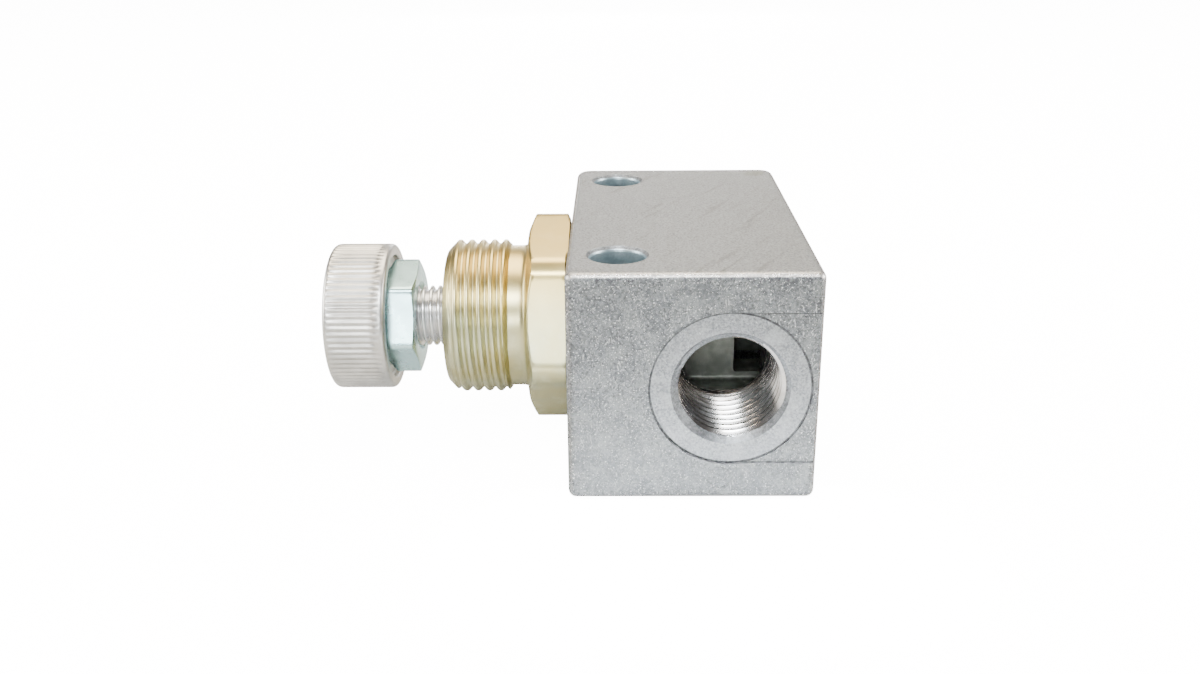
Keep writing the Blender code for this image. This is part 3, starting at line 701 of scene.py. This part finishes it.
def end_tools(side):
    """The cutters for one end of the body: its port, pad, pocket, passage, hole and mark.

    The side is -1 at the front and 1 at the rear. The pad runs from the port to the right end, with a
    groove along both its edges.
    """
    label = "front" if side < 0 else "rear"
    face = side * BODY_HIGH.y
    outside = face + side
    pad_x = (PORT_X, BODY_HIGH.x + 1)
    pad_low, pad_high = level_with_stem(PAD_HALF_HEIGHT)
    tools = [
        port_cutter(f"{label}_port", side),
        block(f"{label}_pad", pad_x, (outside, face - side * PAD_DEPTH), (pad_low, pad_high)),
    ]
    groove_y = (outside, face - side * PAD_GROOVE_DEPTH)
    for number, low in enumerate((pad_low, pad_high - PAD_GROOVE)):
        tools.append(block(f"{label}_pad_groove_{number}", pad_x, groove_y, (low, low + PAD_GROOVE)))
    for kind, x, from_middle, half_height, rounding in (
        ("pocket", POCKET_X, POCKET_FROM_MIDDLE, POCKET_HALF_HEIGHT, 0.5),
        ("passage", PASSAGE_X[label], PASSAGE_FROM_MIDDLE, PASSAGE_HALF_HEIGHT, 0.4),
    ):
        y = [side * distance for distance in from_middle]
        tools.append(block(f"{label}_{kind}", x, y, level_with_stem(half_height), rounding))
    return tools + [hole_cutter(f"{label}_hole", side), ejector_mark(f"{label}_mark", side)]


def valve_body():
    """The casting, with everything cut from it in one go."""
    made = body_block()
    cut(made, [stem_bore()] + end_tools(-1) + end_tools(1))
    return made


def finish_of(face):
    """The name of a body face's finish, from the operation that made the face."""
    x, y, z = face.center / MM
    depth = BODY_HIGH.y - abs(y)
    from_port = math.hypot(x - PORT_X, z - STEM_HEIGHT)
    from_hole = math.hypot(x - HOLE_X, abs(y) - HOLE_Y)
    from_pad_groove = abs(abs(z - STEM_HEIGHT) - PAD_HALF_HEIGHT + PAD_GROOVE / 2)
    from_spot_groove = abs(from_port - SPOT_RADIUS + SPOT_GROOVE / 2)

    beside_spot = 0.01 < depth < PAD_DEPTH + 0.1 and x > PORT_X + 1 and from_port > SPOT_RADIUS
    # The pad's edge grooves are painted dark, as painted shade.
    if beside_spot and from_pad_groove < PAD_GROOVE / 2 + 0.01:
        return "crevice_shade"
    if from_hole < HOLE_RADIUS + 0.1 and 0.3 < z < BODY_HIGH.z - 0.3:
        return "hole"
    if from_hole < HOLE_RADIUS + HOLE_CHAMFER + 0.05 and abs(face.normal.z) < 0.95:
        return "machined"
    # The groove at the spot face's edge is painted dark, as painted shade.
    if 0.02 < depth < 0.5 and from_spot_groove < SPOT_GROOVE / 2 + 0.01:
        return "crevice_shade"
    if 0.2 < depth < SPOT_DEPTH + 0.02 and PORT_THREAD[0] + 0.05 < from_port < SPOT_RADIUS:
        return "machined"
    if depth < 1.2 and port_chamfer(depth) - 0.03 < from_port < SPOT_RADIUS - 1:
        return "chamfer" if depth > SPOT_DEPTH else "cast"
    if 0.3 < depth < PORT_DEPTH + 0.01 and from_port < PORT_THREAD[1] + 0.35:
        return "thread"
    if 0.3 < depth < 23 and from_port < 8:
        return "core"
    return "cast"


def paint_body(made, looks):
    """Gives each face of the body its finish."""
    made.data.materials.clear()
    for look in looks.values():
        made.data.materials.append(look)
    order = list(looks)
    for face in made.data.polygons:
        face.material_index = order.index(finish_of(face))


def bonnet_piece():
    """The bonnet, from its bore's outer end over the panel thread and the hexagon to the shank."""
    outer, inner = BONNET_LOW.x, BONNET_HIGH.x
    screw_end = outer + BONNET_SCREWED
    thread_start = outer + 0.12

    def limit(x, radius):
        lead_in = PANEL_LEAD_RADIUS + (x - outer) * 1.05
        run_out = RELIEF_RADIUS + (THREAD_INNER - x) * 1.3
        trimmed = min(radius, lead_in, run_out)
        near_end = smooth((THREAD_INNER - x) / 0.25)
        return RELIEF_RADIUS + (trimmed - RELIEF_RADIUS) * near_end

    rows = softened(
        [
            (screw_end, SPINDLE_HOLE),
            (outer + 0.5, SPINDLE_HOLE),
            (outer, SPINDLE_HOLE + 0.5, 0.08),
            (outer, PANEL_LEAD_RADIUS, 0.12),
            (thread_start, PANEL_LEAD_RADIUS + 0.12),
        ]
    )
    rows += thread_rows(thread_start, THREAD_INNER, PANEL_THREAD, limit, per_pitch=14)
    face, bar = (HEX_OUTER, HEX_FACE_RADIUS), (HEX_OUTER + HEX_CHAMFER, HEX_BAR_RADIUS)
    rows += softened(
        [
            (THREAD_INNER + 0.02, RELIEF_RADIUS),
            (HEX_OUTER, RELIEF_RADIUS, 1.1),
            (*face, 0.15),
            bar,
        ],
        steps=6,
    )[:-1]
    rows += straight(face, bar, 8)
    rows += straight(bar, (HEX_INNER - 0.3, HEX_BAR_RADIUS), 8)
    groove_outer, groove_inner, groove_radius = BONNET_SEAL_GROOVE
    rows += softened(
        [
            (HEX_INNER - 0.29, HEX_BAR_RADIUS - 0.02),
            (HEX_INNER, HEX_BAR_RADIUS - 0.6, 0.1),
            (HEX_INNER, SHANK_RADIUS, 0.1),
            (groove_outer, SHANK_RADIUS, 0.1),
            (groove_outer, groove_radius, 0.1),
            (groove_inner, groove_radius, 0.1),
            (groove_inner, SHANK_RADIUS, 0.1),
            (inner - 0.6, SHANK_RADIUS),
            (inner, SHANK_RADIUS - 0.6),
            (inner, BONNET_BORE, 0.1),
            (screw_end, BONNET_BORE),
            (screw_end, SPINDLE_HOLE),
        ]
    )
    shape = hexagon(HEX_FLATS, HEX_OUTER - 0.01, HEX_INNER + 0.01)
    return lathe("panel_bonnet", rows, 192, at_stem(), shape, HEX_CORNER_ANGLE)


def lock_nut_piece():
    """The thin nut. Its corners are chamfered at 30 degrees outside, and by less behind."""
    outer, inner = NUT_LOW.x, NUT_HIGH.x
    mouth = SPINDLE_HOLE + 0.5
    face = NUT_FLATS / 2 - 0.2
    bar = NUT_FLATS / math.sqrt(3) + 0.05
    rise = (bar - face) * math.tan(math.radians(30))
    fall = rise * 0.4
    rows = softened([(outer + 0.5, SPINDLE_HOLE), (outer, mouth, 0.08), (outer, face)])
    rows += straight((outer, face), (outer + rise, bar), 8)
    rows += straight((outer + rise, bar), (inner - fall, bar), 6)
    rows += straight((inner - fall, bar), (inner, face), 8)
    rows += softened([(inner, face - 0.05), (inner, mouth, 0.08), (inner - 0.5, SPINDLE_HOLE)])
    rows.append(rows[0])
    shape = hexagon(NUT_FLATS, outer - 0.01, inner + 0.01)
    return lathe("thin_lock_nut", rows, 144, at_stem(), shape, HEX_CORNER_ANGLE)


def knob_piece():
    """The knob: a dished end, a straight knurl, a recess for the nut, and the grub screw's hole."""
    outer, inner = KNOB_LOW.x, KNOB_HIGH.x
    radius = (KNOB_HIGH.z - KNOB_LOW.z) / 2
    recess = NUT_FLATS / math.sqrt(3) + 0.5
    recess_floor = NUT_LOW.x - 0.3
    bore_end = SPINDLE_LOW.x - 0.3
    knurl_from, knurl_to = outer + 0.55, inner - 1.15
    rim_from, rim_to = outer + 1.6, inner - 1.4
    rows = softened(
        [
            (outer + 0.25, 0),
            (outer + 0.25, radius * 0.72, 0.3),
            (outer, radius * 0.78, 0.2),
            (outer, radius, 1.1),
            (rim_from, radius),
        ],
        steps=8,
    )
    rows += straight((rim_from, radius), (rim_to, radius), 8)
    rows += softened(
        [
            (rim_to + 0.05, radius),
            (inner, radius, 1.2),
            (inner, recess, 0.35),
            (recess_floor, recess, 0.3),
            (recess_floor, SPINDLE_HOLE, 0.2),
            (bore_end, SPINDLE_HOLE),
            (bore_end, 0),
        ],
        steps=8,
    )

    def shape(x, r, turn):
        if r < radius - 0.9 or not knurl_from < x < knurl_to:
            return r
        fade = smooth((x - knurl_from) / 0.35) * smooth((knurl_to - x) / 0.3)
        tooth = turn * KNURL_TEETH / (2 * math.pi) % 1.0
        return r - KNURL_DEPTH * fade * (1 - abs(2 * tooth - 1))

    made = lathe("knurled_knob", rows, KNURL_TEETH * 8, at_stem(), shape)
    around_stem = math.radians(225)
    direction = (0, -math.cos(around_stem), math.sin(around_stem))
    outline = [(3, 0), (3, 1.5), (radius + 1, 1.5), (radius + 1, 0)]
    cut(made, [lathe("grub_hole", outline, 40, pointing(outer + 3.6, 0, STEM_HEIGHT, direction))])
    crisp(made.data, 50)
    return made


def spindle_piece():
    """The spindle: its thread, the sealing shoulder, and the bore and cross hole that take the needle."""
    outer, inner = SPINDLE_LOW.x, SPINDLE_HIGH.x
    root = SPINDLE_THREAD[1]
    tip = root - 0.1

    def limit(x, radius):
        lead_in = tip + (x - outer)
        near_end = smooth((SHOULDER - x) / 0.4)
        trimmed = min(radius, lead_in)
        return root + (trimmed - root) * near_end

    groove_from, groove_to, groove_radius = SPINDLE_SEAL_GROOVE
    bore_radius, bore_depth = SPINDLE_END_BORE
    rows = [(outer, 0), (outer, tip)]
    rows += thread_rows(outer, SHOULDER, SPINDLE_THREAD, limit, per_pitch=8)
    rows += softened(
        [
            (SHOULDER, root),
            (SHOULDER, SHOULDER_RADIUS, 0.2),
            (SHOULDER + groove_from, SHOULDER_RADIUS, 0.1),
            (SHOULDER + groove_from, groove_radius, 0.1),
            (SHOULDER + groove_to, groove_radius, 0.1),
            (SHOULDER + groove_to, SHOULDER_RADIUS, 0.1),
            (inner - 0.4, SHOULDER_RADIUS),
            (inner, SHOULDER_RADIUS - 0.4),
            (inner, bore_radius, 0.1),
            (inner - bore_depth, bore_radius),
            (inner - bore_depth, 0),
        ]
    )
    made = lathe("spindle_screw", rows, 72, at_stem())
    outline = [(-9, 0), (-9, 0.75), (9, 0.75), (9, 0)]
    cut(made, [lathe("pin_hole", outline, 24, pointing(inner - 1.6, 1.5, STEM_HEIGHT, (0, 0, 1)))])
    crisp(made.data)
    return made


# ---------------------------------------------------------------- studio


def aimed(made, at):
    """Turns a light towards a point."""
    direction = Vector(at) - made.location
    made.rotation_mode = "QUATERNION"
    made.rotation_quaternion = direction.to_track_quat("-Z", "Y")
    return made


def around(centre, azimuth, elevation, distance):
    """A place round a point. Azimuth 0 is on the front port's side, and 90 is on the right."""
    a, e = math.radians(azimuth), math.radians(elevation)
    away = Vector((math.sin(a) * math.cos(e), -math.cos(a) * math.cos(e), math.sin(e)))
    return Vector(centre) + away * distance


def softbox(name, place, at, size, power, colour, spread=180):
    """A rectangular light that the camera doesn't see."""
    light = bpy.data.lights.new(name, "AREA")
    light.shape = "RECTANGLE"
    light.size, light.size_y = size
    light.energy = power
    light.color = colour
    light.spread = math.radians(spread)
    made = linked(name, light)
    made.location = place
    made.visible_camera = False
    return aimed(made, at)


def room():
    """A pale room: white to the camera, and dim to the object."""
    world = bpy.data.worlds.new("studio")
    bpy.context.scene.world = world
    world.use_nodes = True
    nodes, links = world.node_tree.nodes, world.node_tree.links
    backdrop = nodes["Background"]
    backdrop.inputs["Color"].default_value = (0.97, 0.98, 1.0, 1)
    rays = nodes.new("ShaderNodeLightPath")
    seen = nodes.new("ShaderNodeMapRange")
    links.new(rays.outputs["Is Camera Ray"], seen.inputs["Value"])
    seen.inputs["To Min"].default_value = ROOM_LIGHT
    seen.inputs["To Max"].default_value = FLOOR_WHITE
    links.new(seen.outputs["Result"], backdrop.inputs["Strength"])


def lights():
    """Soft boxes: cool in front, with a warm one to its left, warm above, dim behind, one at each side.

    Each is a name, its azimuth, elevation and distance, its size, its power and its colour.
    """
    for name, azimuth, elevation, distance, size, power, colour in (
        ("key", -4, 48, 0.50, (0.24, 0.10), 3.1, (0.95, 0.98, 1.0)),
        ("warm_left", -42, 42, 0.50, (0.07, 0.10), 0.5, (1.0, 0.84, 0.68)),
        ("low_front", -8, 12, 0.55, (0.20, 0.04), 1.2, (0.95, 0.985, 1.0)),
        ("overhead", 180, 71, 0.55, (0.50, 0.36), 5.5, (1.0, 0.88, 0.71)),
        ("back_wall", 180, 18, 0.60, (0.70, 0.15), 0.7, (1.0, 0.96, 0.92)),
        ("rear_key", 176, 47, 0.50, (0.24, 0.10), 0.25, (1.0, 0.86, 0.66)),
        ("rear_low", 180, 6, 0.55, (0.24, 0.04), 0.5, (0.98, 0.99, 1.0)),
        ("left_side", -88, 18, 0.50, (0.30, 0.30), 3.8, (1.0, 0.98, 0.95)),
        ("right_side", 88, 18, 0.50, (0.30, 0.30), 4.0, (1.0, 0.98, 0.95)),
    ):
        place = around(STUDIO_CENTRE, azimuth, elevation, distance)
        softbox(name, place, STUDIO_CENTRE, size, power, colour)
    # Each pool lights only the paper before one port, which that face mirrors.
    for name, y in (("front_pool", -0.037), ("rear_pool", 0.037)):
        softbox(name, (0.001, y, 0.08), (0.001, y, 0), (0.034, 0.008), 0.10, (0.95, 0.98, 1.0), 20)


def paper_floor():
    """A wide sheet of pale paper just under the body, which the camera sees as plain white."""
    half = 3.0
    low = BODY_LOW.z * MM - 0.0002
    mesh = bpy.data.meshes.new("floor")
    corners = [(-half, -half, low), (half, -half, low), (half, half, low), (-half, half, low)]
    mesh.from_pydata(corners, [], [(0, 1, 2, 3)])
    floor = linked("floor", mesh)
    n = Nodes("floor_paper", 0.0, 0.9)
    paper = n.noise(40, 2, 0.5)
    n.shader.inputs["Emission Color"].default_value = (1, 1, 1, 1)
    rays = n.add("ShaderNodeLightPath")
    glow = n.maths("MULTIPLY", rays.outputs["Is Camera Ray"], FLOOR_WHITE)
    n.feed(n.shader.inputs["Emission Strength"], glow)
    mesh.materials.append(n.finish(n.mix(paper, (0.60, 0.60, 0.60), (0.64, 0.64, 0.64))))


def camera():
    """Close to the front port, a little left of the body's middle, and looking 21 degrees down."""
    lens = bpy.data.cameras.new("camera")
    lens.sensor_width = 36.0
    lens.lens = LENS_LENGTH
    lens.clip_start = 0.005
    made = linked("camera", lens)
    tilt, yaw, roll = (math.radians(angle) for angle in (LENS_TILT, LENS_YAW, LENS_ROLL))
    turn = Matrix.Rotation(yaw, 4, "Z")
    forward = turn @ Vector((0, math.cos(tilt), -math.sin(tilt)))
    up = turn @ Vector((0, math.sin(tilt), math.cos(tilt)))
    right = turn @ Vector((1, 0, 0))
    level = right * math.cos(roll) + up * math.sin(roll)
    upright = up * math.cos(roll) - right * math.sin(roll)
    made.matrix_world = Matrix.Translation(LENS_PLACE) @ Matrix(
        [[level[i], upright[i], -forward[i], 0] for i in range(3)] + [[0, 0, 0, 1]]
    )
    bpy.context.scene.camera = made


# ---------------------------------------------------------------- assembly


def give(mesh, look):
    """Makes a material the only one of a mesh."""
    mesh.materials.clear()
    mesh.materials.append(look)


def stands_for(made, node, body, slot):
    """Makes a piece move with a body, in place of a CAD node. The slot is not used."""
    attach(made, body)
    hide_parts(node)


def build():
    camera()
    room()
    lights()
    paper_floor()

    cast = cast_alloy()
    yellow = turned_zinc(
        "yellow_zinc",
        dark=(0.53, 0.485, 0.255),
        light=(0.49, 0.50, 0.33),
        glow=(0.72, 0.71, 0.50),
        roughness=(0.28, 0.36),
        # A gold tint painted on the top of the stem, as warm light from above.
        painted_warm_light=(0.64, 0.475, 0.16),
    )
    blue = turned_zinc("blue_zinc", (0.44, 0.64, 0.66), (0.53, 0.76, 0.78), (0.66, 0.88, 0.90))
    steel = turned_zinc("spindle_steel", (0.62, 0.62, 0.62), (0.72, 0.72, 0.72), (0.85, 0.85, 0.85))
    wire = plain("spring_steel", (0.45, 0.45, 0.46), (0.58, 0.58, 0.59), 1.0, (0.2, 0.35), 900, 0.01)
    black = plain("dark_steel", (0.03, 0.03, 0.035), (0.07, 0.07, 0.075), 0.8, (0.3, 0.45), 900, 0.01)
    brass = plain("brass", (0.70, 0.52, 0.20), (0.80, 0.62, 0.30), 1.0, (0.2, 0.35), 600, 0.01)
    rubber = plain("seal_rubber", (0.012, 0.012, 0.012), (0.03, 0.03, 0.03), 0.0, (0.5, 0.7), 900, 0.02)
    white = plain("ptfe", (0.80, 0.80, 0.77), (0.86, 0.86, 0.83), 0.0, (0.35, 0.5), 500, 0.01)

    made = valve_body()
    looks = {
        "cast": cast,
        "machined": machined_face("spot_face"),
        "thread": bright_bore(),
        "core": cored_wall(),
        "hole": hole_wall(),
        # Painted shade in the grooves of the machined steps.
        "crevice_shade": crevice_shade(),
        # The port's chamfer: the spot face's finish at half brightness, as painted shade.
        "chamfer": machined_face("port_chamfer", 0.5),
    }
    paint_body(made, looks)
    crisp(made.data, 32)
    weighted = made.modifiers.new("even_faces", "WEIGHTED_NORMAL")
    weighted.keep_sharp = True
    stands_for(made, "body", "valve_body", "cast_alloy")

    for made, node, body, slot, look in (
        (bonnet_piece(), "bonnet", "valve_body", "yellow_zinc", yellow),
        (spindle_piece(), "spindle", "spindle_group", "spindle_steel", steel),
        (knob_piece(), "knob", "spindle_group", "satin_metal", knob_metal()),
        (lock_nut_piece(), "lock_nut", "nut", "blue_zinc", blue),
    ):
        give(made.data, look)
        stands_for(made, node, body, slot)

    # The spring keeps its CAD shape, as a copy.
    spring = linked("spring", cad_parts["check_spring"].data.copy())
    give(spring.data, wire)
    stands_for(spring, "check_spring", "valve_body", "spring_steel")
    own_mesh(spring)

    # The other inner pieces are the CAD's own.
    for look, names in (
        (brass, ("throttle_sleeve", "spring_seat", "check_ring")),
        (rubber, ("bonnet_oring", "spindle_oring", "check_seal")),
        (white, ("backup_ring", "sleeve_gasket")),
        (steel, ("throttle_needle", "needle_pin", "thrust_ball")),
        (black, ("knob_grub_screw",)),
    ):
        for name in names:
            give(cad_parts[name].data, look)


build()
